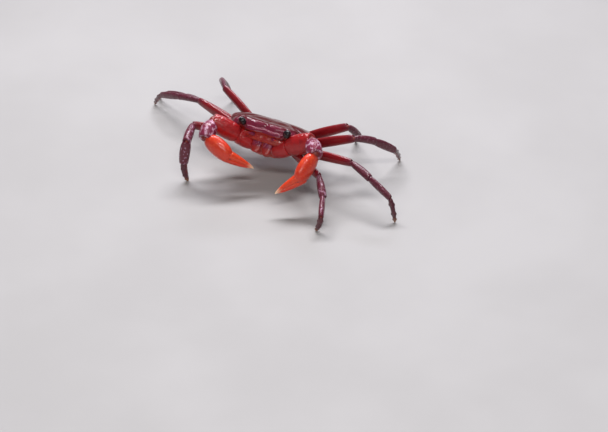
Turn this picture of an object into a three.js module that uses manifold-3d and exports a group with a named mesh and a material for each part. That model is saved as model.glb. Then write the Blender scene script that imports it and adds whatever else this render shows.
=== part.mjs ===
// A small red land crab standing with its front raised and both claws folded before its mouth.
// Millimetres, +Z up. The crab faces -Y and its own left is +X. The floor is at Z = 0.

import * as THREE from 'three';
import { mergeVertices } from 'three/addons/utils/BufferGeometryUtils.js';
import Module from 'manifold-3d';

const wasm = await Module();
wasm.setup();

// ---------------------------------------------------------------- driving dimensions

const BODY_PITCH = 22.5; // degrees that the front of the body is raised
const BODY_ROLL = 4; // degrees that its left side is lowered
const BODY_CENTRE = [0.45, 1.45, 11.8]; // the body's centre over the middle of the footprint
const JOINT_GAP = 0.3; // space left between a piece and its neighbour
const FLAT_DEPTH = 0.25; // how far each toe runs past the floor before it is cut flat

const CARAPACE_TOP = 3.2; // crown above the body's centre
const CROWN_Y = -3.0; // the crown's place, forward of the body's centre
const BACK_FALL = 0.035; // how fast the shell falls behind the crown, per millimetre squared
const CARAPACE_UNDERSIDE = -2.4; // underside of the shell, where it meets the thorax
const CARAPACE_OUTLINE = [ // left half of the shell's edge, seen from above, front to back
  [0, -9.6], [2.8, -9.9], [4.9, -9.7], [6.0, -8.8], [7.6, -8.4], [9.5, -8.3], [10.9, -6.5], [12.1, -4.2],
  [12.5, -1.6], [11.7, 2.4], [9.6, 6.2], [6.9, 9.0], [4.2, 9.9], [0, 10.0],
];

const HIPS = { // left hips of the claw (0) and the four walking legs, in the body's own frame
  0: [5.0, -6.6, -3.6],
  1: [6.75, -2.5, -4.0],
  2: [7.3, 0.0, -4.2],
  3: [6.9, 2.5, -4.1],
  4: [5.25, 5.75, -3.2],
};

const LEG_LENGTHS = { // merus, carpus and propodus; the dactylus reaches the floor
  1: [16.2, 7.0, 7.4],
  2: [20.1, 7.5, 8.6],
  3: [19.7, 7.1, 8.4],
  4: [17.7, 6.5, 7.5],
};
const LEG_GIRTHS = { // how thick each leg is below the knee, beside the sizes set further down
  right_1: 1.25, right_2: 0.9, right_3: 0.85, right_4: 0.85,
  left_1: 1.12, left_2: 1.05, left_3: 1.0, left_4: 0.95,
};

// Azimuth of each segment from straight sideways, towards the back, and lift from the horizontal.
const LEG_POSES = {
  right_1: { azimuth: [-26, -97, -32, -15], lift: [19, -9, -83, -100] },
  right_2: { azimuth: [24, 14, 25, 34], lift: [6, -11, -24, -55] },
  right_3: { azimuth: [23, 23, 23, 33], lift: [3, -9, -19, -42] },
  right_4: { azimuth: [28, 60, 95, 100], lift: [20, -15, -55, -68] },
  left_1: { azimuth: [-38, -59, -73, -15], lift: [4, -20, -14, -108] },
  left_2: { azimuth: [-14, -25, -24, -31], lift: [11, -11, -18, -71] },
  left_3: { azimuth: [-2, 45, 49, 90], lift: [25, -24, -39, -55] },
  left_4: { azimuth: [4, 60, 112, 118], lift: [28, -52, -38, -48] },
};

const CLAW_LENGTHS = { merus: 11.4, carpus: 5.4, palm: 8.4, finger: 8.0 };
const ISCHIUM_LENGTH = 2.9;
const LOWER_FINGER = { root: 2.2, drop: 0.85 }; // its start inside the palm, and below the palm's axis
const UPPER_FINGER = { root: 0.4, rise: 0.85 }; // the same for the moving finger, above the axis
const CLAW_POSES = {
  right: { azimuth: [-14, -87, -169, -199], lift: [30.5, -27, -27, -29] },
  left: { azimuth: [-1.5, -57, -113, -148], lift: [31.5, -7, -41, -31] },
};

const EYE_CENTRE = [6.9, -9.2, 2.35];
const EYE_RADIUS = 1.12;
const EYE_HEIGHT = 1.18; // how much taller an eye is than it is wide
const EYESTALK_ROOT = [5.2, -8.3, 0.4];

// ---------------------------------------------------------------- finishes

const finish = (color, roughness) => new THREE.MeshStandardMaterial({ color, roughness, metalness: 0 });

const FINISHES = {
  shell: finish(0x5e1420, 0.28),
  underside: finish(0xc24a2a, 0.4),
  eye: finish(0x0b0709, 0.08),
  legRed: finish(0xa3140f, 0.3),
  legDark: finish(0x571119, 0.32),
  clawArm: finish(0xb02012, 0.3),
  clawHand: finish(0xd8441c, 0.3),
};

// ---------------------------------------------------------------- shaping helpers

const RADIANS = Math.PI / 180;

/** Merges shared vertices, drops empty triangles and turns every face outwards. */
function closed(geometry) {
  geometry.deleteAttribute('normal');
  geometry.deleteAttribute('uv');
  const merged = mergeVertices(geometry, 1e-4);
  const corners = merged.index.array;
  const spots = merged.attributes.position;
  const [a, b, c] = [new THREE.Vector3(), new THREE.Vector3(), new THREE.Vector3()];
  const kept = [];
  let volume = 0;
  for (let i = 0; i < corners.length; i += 3) {
    const [p, q, r] = [corners[i], corners[i + 1], corners[i + 2]];
    if (p === q || q === r || r === p) continue;
    kept.push(p, q, r);
    a.fromBufferAttribute(spots, p);
    b.fromBufferAttribute(spots, q);
    c.fromBufferAttribute(spots, r);
    volume += a.dot(b.cross(c));
  }
  merged.setIndex(volume < 0 ? kept.reverse() : kept);
  return merged;
}

/** A closed body of rings between two poles; place(row, angle, ring) gives each vertex its spot. */
function ringed(sides, rings, place) {
  const profile = [];
  for (let row = 0; row <= rings + 1; row += 1) {
    const onAxis = row === 0 || row === rings + 1;
    profile.push(new THREE.Vector2(onAxis ? 0 : 1, row));
  }
  const geometry = new THREE.LatheGeometry(profile, sides);
  const spots = geometry.attributes.position;
  for (let i = 0; i < spots.count; i += 1) {
    const row = Math.round(spots.getY(i));
    const side = Math.round((Math.atan2(spots.getX(i), spots.getZ(i)) / (2 * Math.PI)) * sides);
    const spot = place(row, (((side + sides) % sides) / sides) * 2 * Math.PI);
    spots.setXYZ(i, spot.x, spot.y, spot.z);
  }
  return closed(geometry);
}

/** A smooth value that starts at root, leans towards middle and ends at tip, for t from 0 to 1. */
function along([root, middle, tip], t) {
  const lean = 2 * middle - (root + tip) / 2;
  return (1 - t) * (1 - t) * root + 2 * t * (1 - t) * lean + t * t * tip;
}

const LIMB_ROWS = [ // place along a limb, and how full the section is there
  [0, 0], [0.02, 0.6], [0.1, 0.94], [0.32, 1], [0.58, 1], [0.83, 1], [0.95, 0.8], [1, 0],
];

/** A rounded limb along +X: depth runs up Z and thick along Y, each as root, middle and tip half sizes. */
function limb({ length, depth, thick, sides = 8, arch = 0, hook = 0, ridge = 0 }) {
  return ringed(sides, LIMB_ROWS.length - 2, (row, angle) => {
    const [t, fullness] = LIMB_ROWS[row];
    const up = Math.sin(angle);
    const peak = up > 0 ? 1 + ridge * up ** 6 : 1;
    return new THREE.Vector3(
      t * length,
      Math.cos(angle) * along(thick, t) * fullness,
      up * peak * along(depth, t) * fullness + 4 * arch * t * (1 - t) - hook * t * t * t,
    );
  });
}

/** A ball stretched to three half sizes about a centre. */
function stretchedBall(centre, [x, y, z], sides = 12, rings = 7) {
  const geometry = new THREE.SphereGeometry(1, sides, rings);
  geometry.scale(x, y, z);
  geometry.translate(...centre);
  return closed(geometry);
}

/** The same closed surface moved outwards by a gap. */
function grown(geometry, gap) {
  const bigger = geometry.clone();
  bigger.computeVertexNormals();
  const spots = bigger.attributes.position;
  const normals = bigger.attributes.normal;
  for (let i = 0; i < spots.count; i += 1) {
    spots.setXYZ(
      i,
      spots.getX(i) + gap * normals.getX(i),
      spots.getY(i) + gap * normals.getY(i),
      spots.getZ(i) + gap * normals.getZ(i),
    );
  }
  bigger.deleteAttribute('normal');
  return bigger;
}

/** A manifold solid of a closed geometry. */
function toSolid(geometry) {
  return new wasm.Manifold(new wasm.Mesh({
    numProp: 3,
    vertProperties: new Float32Array(geometry.attributes.position.array),
    triVerts: new Uint32Array(geometry.index.array),
  }));
}

/** A geometry of a manifold solid's largest body. */
function toGeometry(solid) {
  const bodies = solid.decompose();
  bodies.sort((first, second) => second.volume() - first.volume());
  const { vertProperties, triVerts } = bodies[0].getMesh();
  const geometry = new THREE.BufferGeometry();
  geometry.setAttribute('position', new THREE.BufferAttribute(new Float32Array(vertProperties), 3));
  geometry.setIndex(Array.from(triVerts));
  return geometry;
}

/** Joins geometries into one. */
function joined(...geometries) {
  return toGeometry(geometries.map(toSolid).reduce((whole, next) => whole.add(next)));
}

// ---------------------------------------------------------------- pieces and their places

const pieces = [];

/** Adds a named piece: a geometry in its own frame, and that frame's matrix. */
function addPiece(name, geometry, material, frame = new THREE.Matrix4()) {
  const piece = { name, geometry, material, frame };
  pieces.push(piece);
  return piece;
}

/** Cuts room for a neighbour, with the joint gap all round it. */
function cutAround(piece, neighbour, gap = JOINT_GAP) {
  const tool = grown(neighbour.geometry, gap);
  tool.applyMatrix4(piece.frame.clone().invert().multiply(neighbour.frame));
  piece.geometry = toGeometry(toSolid(piece.geometry).subtract(toSolid(tool)));
}

/** Cuts a piece flat at the floor. */
function cutAtFloor(piece) {
  const floor = new THREE.BoxGeometry(200, 200, 10);
  floor.translate(0, 0, -5);
  floor.applyMatrix4(piece.frame.clone().invert());
  piece.geometry = toGeometry(toSolid(piece.geometry).subtract(toSolid(closed(floor))));
}

const bodyFrame = new THREE.Matrix4()
  .makeTranslation(...BODY_CENTRE)
  .multiply(new THREE.Matrix4().makeRotationX(-BODY_PITCH * RADIANS))
  .multiply(new THREE.Matrix4().makeRotationY(BODY_ROLL * RADIANS));

/** Mirrors a point of the left side to the named side. */
function toSide([x, y, z], side) {
  return new THREE.Vector3(side === 'left' ? x : -x, y, z);
}

/** A frame at a joint: +X along the segment and +Z towards its upper edge. */
function segmentFrame(joint, side, azimuth, lift) {
  const [turn, rise] = [azimuth * RADIANS, lift * RADIANS];
  const outward = new THREE.Vector3(Math.cos(turn) * (side === 'left' ? 1 : -1), Math.sin(turn), 0);
  const forward = outward.clone().multiplyScalar(Math.cos(rise));
  forward.z = Math.sin(rise);
  const upper = outward.clone().multiplyScalar(-Math.sin(rise));
  upper.z = Math.cos(rise);
  const across = new THREE.Vector3().crossVectors(upper, forward);
  return new THREE.Matrix4().makeBasis(forward, across, upper).setPosition(joint);
}

/** The point a distance along a frame's own +X. */
function pointAlong(frame, distance) {
  return new THREE.Vector3(distance, 0, 0).applyMatrix4(frame);
}

// ---------------------------------------------------------------- body

const shellEdge = new THREE.SplineCurve(
  [
    ...CARAPACE_OUTLINE.map(([x, y]) => new THREE.Vector2(x, y)),
    ...CARAPACE_OUTLINE.slice(1).reverse().map(([x, y]) => new THREE.Vector2(-x, y)),
  ],
);

/** Height of the shell's sharp edge at a place: low at the front, higher at the sides, low at the back. */
function edgeHeight(y) {
  return 1.3 - 0.06 * (y + 3) ** 2 * (y < -3 ? 0.2 : 0.17);
}

/** A soft hill of a given height and half widths. */
function hill(x, y, [height, centreX, centreY, widthX, widthY]) {
  return height * Math.exp(-(((x - centreX) / widthX) ** 2) - ((y - centreY) / widthY) ** 2);
}

const SHELL_HILLS = [ // the brow crest's two lobes, the crests beside them and the cheek swellings
  [0.55, 2.8, -7.7, 2.4, 0.7],
  [0.5, 8.0, -6.8, 2.6, 0.7],
  [0.2, 7.6, -1.8, 2.6, 3.0],
];

/** Extra height of the shell's relief at a place on either half. */
function shellRelief(x, y) {
  return SHELL_HILLS.reduce((sum, shape) => sum + hill(Math.abs(x), y, shape), 0);
}

/** Height of the upper side: flat, falling to the back, and steeply at the brow. */
function upperHeight(share, edgeY, y) {
  const rim = edgeHeight(edgeY);
  const power = 3 + 3 * THREE.MathUtils.smoothstep(-edgeY, 6.0, 8.6);
  const peak = CARAPACE_TOP - BACK_FALL * Math.max(y - CROWN_Y, 0) ** 2;
  return rim + Math.max(peak - rim, 0.6) * (1 - share ** power) ** 0.8;
}

/** Height of the lower side: a thin lip over the face, a rounded wall elsewhere. */
function lowerHeight(share, edgeY) {
  const rim = edgeHeight(edgeY);
  const wall = (1 - share ** 8) ** 0.6;
  const lip = 0.1 + 0.9 * (1 - THREE.MathUtils.smoothstep(share, 0.82, 0.9));
  const drop = THREE.MathUtils.lerp(wall, lip, THREE.MathUtils.smoothstep(-edgeY, 7.2, 8.6));
  return rim + (CARAPACE_UNDERSIDE - rim) * drop;
}

const SHELL_ROWS = [ // share of the outline that each ring takes, above and then below the edge
  { share: 0.27 }, { share: 0.5 }, { share: 0.68 }, { share: 0.79 }, { share: 0.88 }, { share: 0.95 },
  { share: 1 },
  { share: 0.985, below: true }, { share: 0.9, below: true }, { share: 0.82, below: true },
  { share: 0.66, below: true },
];
const SHELL_SIDES = 30;
const SHELL_CENTRE_Y = -0.6;

function carapaceGeometry() {
  return ringed(SHELL_SIDES, SHELL_ROWS.length, (row, angle) => {
    if (row === 0) return new THREE.Vector3(0, SHELL_CENTRE_Y, upperHeight(0, 0, SHELL_CENTRE_Y));
    if (row === SHELL_ROWS.length + 1) return new THREE.Vector3(0, SHELL_CENTRE_Y, CARAPACE_UNDERSIDE);
    const { share, below } = SHELL_ROWS[row - 1];
    const edge = shellEdge.getPointAt(angle / (2 * Math.PI));
    const x = edge.x * share;
    const y = SHELL_CENTRE_Y + (edge.y - SHELL_CENTRE_Y) * share;
    if (below) return new THREE.Vector3(x, y, lowerHeight(share, edge.y));
    return new THREE.Vector3(x, y, upperHeight(share, edge.y, y) + shellRelief(x, y) * (1 - share ** 10));
  });
}

const THORAX_TOP = CARAPACE_UNDERSIDE - JOINT_GAP;
const THORAX_ROWS = [ // height, half width, front and back of the trunk below the shell
  [THORAX_TOP, 6.8, -7.4, 6.6],
  [-3.4, 7.4, -7.5, 6.9],
  [-4.8, 7.3, -7.1, 6.2],
  [-6.1, 6.3, -6.4, 5.0],
  [-7.0, 4.3, -5.2, 3.4],
];
const THORAX_BOTTOM = -7.2;
const THORAX_SIDES = 18;

function thoraxGeometry() {
  return ringed(THORAX_SIDES, THORAX_ROWS.length, (row, angle) => {
    const level = THORAX_ROWS[Math.min(Math.max(row - 1, 0), THORAX_ROWS.length - 1)];
    const [height, halfWidth, front, back] = level;
    const middle = (front + back) / 2;
    if (row === 0) return new THREE.Vector3(0, middle, THORAX_TOP);
    if (row === THORAX_ROWS.length + 1) return new THREE.Vector3(0, middle, THORAX_BOTTOM);
    const lean = Math.cos(angle);
    const reach = Math.sin(angle);
    const square = (value) => Math.sign(value) * Math.abs(value) ** 0.7;
    return new THREE.Vector3(square(lean) * halfWidth, middle + square(reach) * (back - front) / 2, height);
  });
}

const carapace = addPiece('carapace', carapaceGeometry(), FINISHES.shell, bodyFrame);
const thorax = addPiece('thorax', thoraxGeometry(), FINISHES.underside, bodyFrame);

// The tail is folded flat under the trunk, from its back edge forward to a blunt point.
const tailFrame = bodyFrame.clone()
  .multiply(new THREE.Matrix4().makeTranslation(0, 7.4, -3.4))
  .multiply(new THREE.Matrix4().makeRotationZ(-90 * RADIANS))
  .multiply(new THREE.Matrix4().makeRotationY(22 * RADIANS));
const abdomen = addPiece(
  'abdomen',
  limb({ length: 11.2, depth: [0.9, 0.75, 0.45], thick: [3.1, 2.6, 0.9], sides: 10, arch: -1.1 }),
  FINISHES.underside,
  tailFrame,
);
cutAround(thorax, abdomen);

for (const side of ['left', 'right']) {
  const sign = side === 'left' ? 1 : -1;

  // Outer mouth plates, side by side and leaning back at the foot.
  const mouthFrame = bodyFrame.clone()
    .multiply(new THREE.Matrix4().makeTranslation(sign * 1.55, -7.75, -2.75))
    .multiply(new THREE.Matrix4().makeRotationX(-14 * RADIANS))
    .multiply(new THREE.Matrix4().makeRotationY(90 * RADIANS));
  const mouthPlate = addPiece(
    `maxilliped_${side}`,
    limb({ length: 3.9, depth: [1.1, 1.38, 0.95], thick: [0.42, 0.5, 0.4] }),
    FINISHES.underside,
    mouthFrame,
  );
  cutAround(thorax, mouthPlate);

  const eyeSpot = toSide(EYE_CENTRE, side);
  const eye = addPiece(
    `eye_${side}`,
    stretchedBall([0, 0, 0], [EYE_RADIUS, EYE_RADIUS, EYE_RADIUS * EYE_HEIGHT], 10, 6),
    FINISHES.eye,
    bodyFrame.clone().multiply(new THREE.Matrix4().makeTranslation(eyeSpot)),
  );
  const stalkRoot = toSide(EYESTALK_ROOT, side);
  const stalkRun = eyeSpot.clone().sub(stalkRoot);
  const stalkTurn = new THREE.Quaternion()
    .setFromUnitVectors(new THREE.Vector3(1, 0, 0), stalkRun.clone().normalize());
  const stalkFrame = bodyFrame.clone().multiply(
    new THREE.Matrix4().compose(stalkRoot, stalkTurn, new THREE.Vector3(1, 1, 1)),
  );
  const eyestalk = addPiece(
    `eyestalk_${side}`,
    limb({ length: stalkRun.length(), depth: [0.75, 0.6, 0.8], thick: [0.75, 0.6, 0.8], sides: 6 }),
    FINISHES.shell,
    stalkFrame,
  );
  cutAround(eyestalk, eye);
  cutAround(carapace, eye, JOINT_GAP + 0.1);
  cutAround(carapace, eyestalk);

  // A short feeler beside each eyestalk, standing out under the brow.
  const feelerFrame = bodyFrame.clone()
    .multiply(new THREE.Matrix4().makeTranslation(sign * 3.2, -9.2, -0.4))
    .multiply(new THREE.Matrix4().makeRotationZ(-90 * RADIANS + sign * 35 * RADIANS))
    .multiply(new THREE.Matrix4().makeRotationY(-12 * RADIANS));
  const feeler = addPiece(
    `antenna_${side}`,
    limb({ length: 3.4, depth: [0.45, 0.32, 0.27], thick: [0.45, 0.32, 0.27], sides: 6 }),
    FINISHES.shell,
    feelerFrame,
  );
  cutAround(carapace, feeler);
}

// ---------------------------------------------------------------- walking legs

for (const [leg, pose] of Object.entries(LEG_POSES)) {
  const [side, number] = leg.split('_');
  const [merusLength, carpusLength, propodusLength] = LEG_LENGTHS[number];
  const hip = toSide(HIPS[number], side).applyMatrix4(bodyFrame);
  const frameOf = (joint, segment) => segmentFrame(joint, side, pose.azimuth[segment], pose.lift[segment]);

  const merusFrame = frameOf(hip, 0);
  const kneeFrame = frameOf(pointAlong(merusFrame, merusLength), 1);
  const shinFrame = frameOf(pointAlong(kneeFrame, carpusLength), 2);
  const toeFrame = frameOf(pointAlong(shinFrame, propodusLength), 3);
  const toeDrop = new THREE.Vector3().setFromMatrixPosition(toeFrame).z;
  const toeLength = (toeDrop + FLAT_DEPTH) / -Math.sin(pose.lift[3] * RADIANS);
  const thicken = (sizes) => sizes.map((size) => size * LEG_GIRTHS[leg]);

  const merus = addPiece(
    `leg_${leg}_merus`,
    limb({
      length: merusLength + 0.5,
      depth: [1.1, 1.65, 1.2],
      thick: [0.85, 1.0, 0.85],
      ridge: 0.1,
      arch: 0.25,
    }),
    FINISHES.legRed,
    merusFrame,
  );
  const carpus = addPiece(
    `leg_${leg}_carpus`,
    limb({
      length: carpusLength + 0.4,
      depth: thicken([0.95, 1.2, 1.15]),
      thick: thicken([0.7, 1.1, 1.0]),
      sides: 7,
      arch: 0.3,
    }),
    FINISHES.legDark,
    kneeFrame,
  );
  const propodus = addPiece(
    `leg_${leg}_propodus`,
    limb({
      length: propodusLength + 0.3,
      depth: thicken([1.1, 1.32, 1.0]),
      thick: thicken([0.68, 0.85, 0.68]),
      sides: 7,
      arch: 0.1,
    }),
    FINISHES.legDark,
    shinFrame,
  );
  const dactylus = addPiece(
    `leg_${leg}_dactylus`,
    limb({
      length: toeLength,
      depth: thicken([0.85, 0.76, 0.4]),
      thick: thicken([0.62, 0.6, 0.36]),
      sides: 6,
      arch: 0.35,
    }),
    FINISHES.legDark,
    toeFrame,
  );
  cutAtFloor(dactylus);
  cutAround(propodus, dactylus);
  cutAround(carpus, propodus);
  cutAround(merus, carpus);
  cutAround(thorax, merus);
  cutAround(carapace, merus);
}

// ---------------------------------------------------------------- claws

for (const [side, pose] of Object.entries(CLAW_POSES)) {
  const frameOf = (joint, segment) => segmentFrame(joint, side, pose.azimuth[segment], pose.lift[segment]);
  const hip = toSide(HIPS[0], side).applyMatrix4(bodyFrame);
  const armFrame = frameOf(hip, 0);
  const merusFrame = frameOf(pointAlong(armFrame, ISCHIUM_LENGTH), 0);
  const wristFrame = frameOf(pointAlong(armFrame, CLAW_LENGTHS.merus), 1);
  const palmFrame = frameOf(pointAlong(wristFrame, CLAW_LENGTHS.carpus), 2);
  const fingerFrame = frameOf(pointAlong(palmFrame, CLAW_LENGTHS.palm), 3);

  const ischium = addPiece(
    `claw_${side}_ischium`,
    limb({ length: ISCHIUM_LENGTH + 0.8, depth: [2.0, 2.6, 2.4], thick: [1.7, 2.1, 1.9] }),
    FINISHES.clawArm,
    armFrame,
  );
  const merus = addPiece(
    `claw_${side}_merus`,
    limb({
      length: CLAW_LENGTHS.merus - ISCHIUM_LENGTH + 0.9,
      depth: [2.6, 3.1, 2.4],
      thick: [1.9, 2.35, 2.0],
      sides: 12,
    }),
    FINISHES.clawArm,
    merusFrame,
  );
  const carpus = addPiece(
    `claw_${side}_carpus`,
    limb({
      length: CLAW_LENGTHS.carpus + 0.9,
      depth: [1.5, 2.6, 2.2],
      thick: [1.5, 2.35, 2.0],
      sides: 12,
      arch: 0.5,
    }),
    FINISHES.clawArm,
    wristFrame,
  );

  // The palm carries the lower finger; the upper one moves on it.
  const lowerFinger = limb({
    length: CLAW_LENGTHS.finger + LOWER_FINGER.root,
    depth: [1.45, 0.95, 0.28],
    thick: [1.35, 0.88, 0.28],
    hook: -0.9,
  });
  lowerFinger.translate(-LOWER_FINGER.root, 0, -LOWER_FINGER.drop);
  lowerFinger.applyMatrix4(palmFrame.clone().invert().multiply(fingerFrame));
  const palm = addPiece(
    `claw_${side}_palm`,
    joined(
      limb({
        length: CLAW_LENGTHS.palm + 0.9,
        depth: [2.1, 3.2, 2.15],
        thick: [1.5, 2.2, 1.5],
        sides: 12,
        arch: 0.2,
      }),
      lowerFinger,
    ),
    FINISHES.clawHand,
    palmFrame,
  );
  const upperFinger = limb({
    length: CLAW_LENGTHS.finger + UPPER_FINGER.root,
    depth: [1.32, 0.88, 0.26],
    thick: [1.2, 0.84, 0.26],
    arch: -0.1,
    hook: 0.8,
  });
  upperFinger.translate(-UPPER_FINGER.root, 0, UPPER_FINGER.rise);
  const dactylus = addPiece(`claw_${side}_dactylus`, upperFinger, FINISHES.clawHand, fingerFrame);

  cutAround(palm, dactylus);
  cutAround(carpus, palm);
  cutAround(merus, carpus);
  cutAround(ischium, merus);
  cutAround(thorax, ischium);
  cutAround(carapace, ischium);
  cutAround(carapace, merus);
}

// ---------------------------------------------------------------- assembly

const group = new THREE.Group();
for (const { name, geometry, material, frame } of pieces) {
  const mesh = new THREE.Mesh(geometry, material);
  mesh.name = name;
  frame.decompose(mesh.position, mesh.quaternion, mesh.scale);
  group.add(mesh);
}

export default group;
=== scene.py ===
"""A small wet land crab, standing with its front raised and both claws folded before its mouth."""

import logging
import math
from collections.abc import Callable, Sequence
from dataclasses import astuple, dataclass, field, replace
from enum import Enum

import bmesh
import bpy
import numpy as np
from mathutils import Matrix, Quaternion, Vector


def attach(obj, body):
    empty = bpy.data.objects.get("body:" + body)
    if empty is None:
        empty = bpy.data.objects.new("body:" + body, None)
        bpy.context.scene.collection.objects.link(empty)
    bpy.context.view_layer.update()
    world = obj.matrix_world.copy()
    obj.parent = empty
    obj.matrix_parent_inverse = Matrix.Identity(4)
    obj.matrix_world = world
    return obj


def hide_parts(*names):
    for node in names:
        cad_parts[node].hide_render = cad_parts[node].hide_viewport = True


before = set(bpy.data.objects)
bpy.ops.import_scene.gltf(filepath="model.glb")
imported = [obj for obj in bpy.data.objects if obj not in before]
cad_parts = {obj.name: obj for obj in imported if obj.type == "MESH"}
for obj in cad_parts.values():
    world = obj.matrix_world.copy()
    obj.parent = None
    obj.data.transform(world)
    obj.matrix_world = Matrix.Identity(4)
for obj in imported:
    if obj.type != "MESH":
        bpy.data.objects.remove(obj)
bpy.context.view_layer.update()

LOG = logging.getLogger("crab")

MM = 0.001
FRAME_WIDTH_PX = 608
FRAME_HEIGHT_PX = 432
SMOOTH_ANGLE = 50.0  # faces that meet at less than this many degrees shade smoothly

Colour = tuple[float, float, float]
Point = tuple[float, float, float]
Sizes = tuple[float, float, float]
Line = tuple[tuple[float, float], ...]
Piece = bpy.types.Object
Material = bpy.types.Material
Socket = bpy.types.NodeSocket
Cuffs = list[tuple[Matrix, float]]


# ---- named options


class Side(Enum):
    """A side of the crab's own body, and the sign of its X."""

    LEFT = 1
    RIGHT = -1

    @property
    def word(self) -> str:
        """The side's name as the nodes spell it."""
        return self.name.lower()

    def point(self, spot: Point) -> Vector:
        """A point that is given for the left side, on this side."""
        return Vector((spot[0] * self.value, spot[1], spot[2]))


class Keel(Enum):
    """One of a limb's two long edges, and the sign of its normals' Z."""

    UPPER = 1
    LOWER = -1


class Pick(Enum):
    """What an edit-mode selection is made of."""

    EDGE = "EDGE"
    FACE = "FACE"


# ---- edit-mode helpers


def take(piece: Piece) -> None:
    """Makes a piece the active one, and the only selected one.

    Args:
        piece: the object to take.
    """
    bpy.ops.object.select_all(action="DESELECT")
    piece.select_set(True)
    bpy.context.view_layer.objects.active = piece


def edit(piece: Piece) -> None:
    """Opens a piece in edit mode."""
    take(piece)
    bpy.ops.object.mode_set(mode="EDIT")


def close_edit() -> None:
    """Goes back to object mode."""
    bpy.ops.object.mode_set(mode="OBJECT")


def face_outward() -> None:
    """Turns every face of the piece in edit mode outwards."""
    bpy.ops.mesh.select_all(action="SELECT")
    bpy.ops.mesh.normals_make_consistent(inside=False)


def choose(piece: Piece, pick: Pick, test: Callable[..., bool]) -> int:
    """Selects what passes a test, in edit mode, after deselecting all.

    Args:
        piece: the object open in edit mode.
        pick: whether edges or faces are chosen.
        test: says whether an element is chosen.

    Returns:
        How many elements were chosen.
    """
    bpy.ops.mesh.select_mode(type=pick.value)
    bpy.ops.mesh.select_all(action="DESELECT")
    cage = bmesh.from_edit_mesh(piece.data)
    parts = cage.edges if pick is Pick.EDGE else cage.faces
    chosen = [part for part in parts if test(part)]
    for part in chosen:
        part.select_set(True)
    cage.select_flush_mode()
    bmesh.update_edit_mesh(piece.data)
    return len(chosen)


def crease_keel(piece: Piece, keel: Keel, strength: float) -> None:
    """Sharpens a limb's upper or lower keel, for the subdivision that follows.

    Args:
        piece: the limb's cage.
        keel: which of the two long edges.
        strength: how sharp, from 0 to 1.
    """

    def along_keel(edge: bmesh.types.BMEdge) -> bool:
        """Whether an edge runs along the keel."""
        return all(abs(end.co.y) < 1e-4 and end.normal.z * keel.value > 0.5 for end in edge.verts)

    edit(piece)
    if choose(piece, Pick.EDGE, along_keel):
        bpy.ops.transform.edge_crease(value=strength)
    close_edit()


def raise_bumps(piece: Piece, rim: float, height: float, test: Callable[..., bool]) -> None:
    """Raises a small knob on each face that passes a test.

    Args:
        piece: the cage.
        rim: how far the knob is drawn in, in millimetres.
        height: how far it stands out, in millimetres.
        test: says whether a face takes a knob.
    """
    edit(piece)
    if choose(piece, Pick.FACE, test):
        bpy.ops.mesh.inset(thickness=rim, depth=height, use_individual=True)
    close_edit()


def apply_modifier(piece: Piece, kind: str, **settings: object) -> None:
    """Adds one modifier to a piece and applies it at once.

    Args:
        piece: the object.
        kind: the modifier's type.
        settings: its options.
    """
    take(piece)
    bpy.ops.object.modifier_add(type=kind)
    modifier = piece.modifiers[-1]
    for name, value in settings.items():
        setattr(modifier, name, value)
    bpy.ops.object.modifier_apply(modifier=modifier.name)


def subdivide(piece: Piece, levels: int) -> None:
    """Smooths a piece's cage into a fine surface."""
    apply_modifier(piece, "SUBSURF", levels=levels, render_levels=levels)


def join(pieces: Sequence[Piece]) -> Piece:
    """Joins pieces into the first one.

    Args:
        pieces: two objects or more.

    Returns:
        The first object, which keeps its name.
    """
    take(pieces[0])
    for piece in pieces[1:]:
        piece.select_set(True)
    bpy.ops.object.join()
    return pieces[0]


# ---- shapes


@dataclass(frozen=True)
class Ring:
    """One cross-section of a limb in millimetres: its place, half sizes and rise."""

    at: float
    depth: float
    thick: float
    rise: float = 0.0


def ease(value: float, low: float, high: float) -> float:
    """A smooth step from 0 at low to 1 at high."""
    share = min(max((value - low) / (high - low), 0.0), 1.0)
    return share * share * (3 - 2 * share)


def along(sizes: Sizes, t: float) -> float:
    """A smooth value along a limb.

    Args:
        sizes: the value at the root, in the middle and at the tip.
        t: the share of the length, from 0 to 1.

    Returns:
        The value there.
    """
    root, middle, tip = sizes
    lean = 2 * middle - (root + tip) / 2
    return (1 - t) ** 2 * root + 2 * t * (1 - t) * lean + t * t * tip


@dataclass(frozen=True)
class LimbShape:
    """A limb's length and its half sizes at root, middle and tip, in millimetres.

    It may arch upwards, hook downwards at its tip, and start off its frame's origin.
    """

    length: float
    depth: Sizes
    thick: Sizes
    arch: float = 0.0
    hook: float = 0.0
    base: float = 0.0
    lift: float = 0.0

    def scaled(self, girth: float) -> "LimbShape":
        """The same shape, stouter or slimmer."""
        depth, thick = (tuple(size * girth for size in sizes) for sizes in (self.depth, self.thick))
        return replace(self, depth=depth, thick=thick)

    def ring(self, t: float, fullness: float) -> Ring:
        """One cross-section.

        Args:
            t: the share of the length.
            fullness: the share of the full half sizes.

        Returns:
            The ring.
        """
        inside = min(max(t, 0.0), 1.0)
        return Ring(
            at=self.base + t * self.length,
            depth=along(self.depth, inside) * fullness,
            thick=along(self.thick, inside) * fullness,
            rise=self.lift + 4 * self.arch * inside * (1 - inside) - self.hook * inside**3,
        )

    def rings(self, profile: Line) -> list[Ring]:
        """Cross-sections for a profile of (share of the length, fullness)."""
        return [self.ring(t, fullness) for t, fullness in profile]


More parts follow.
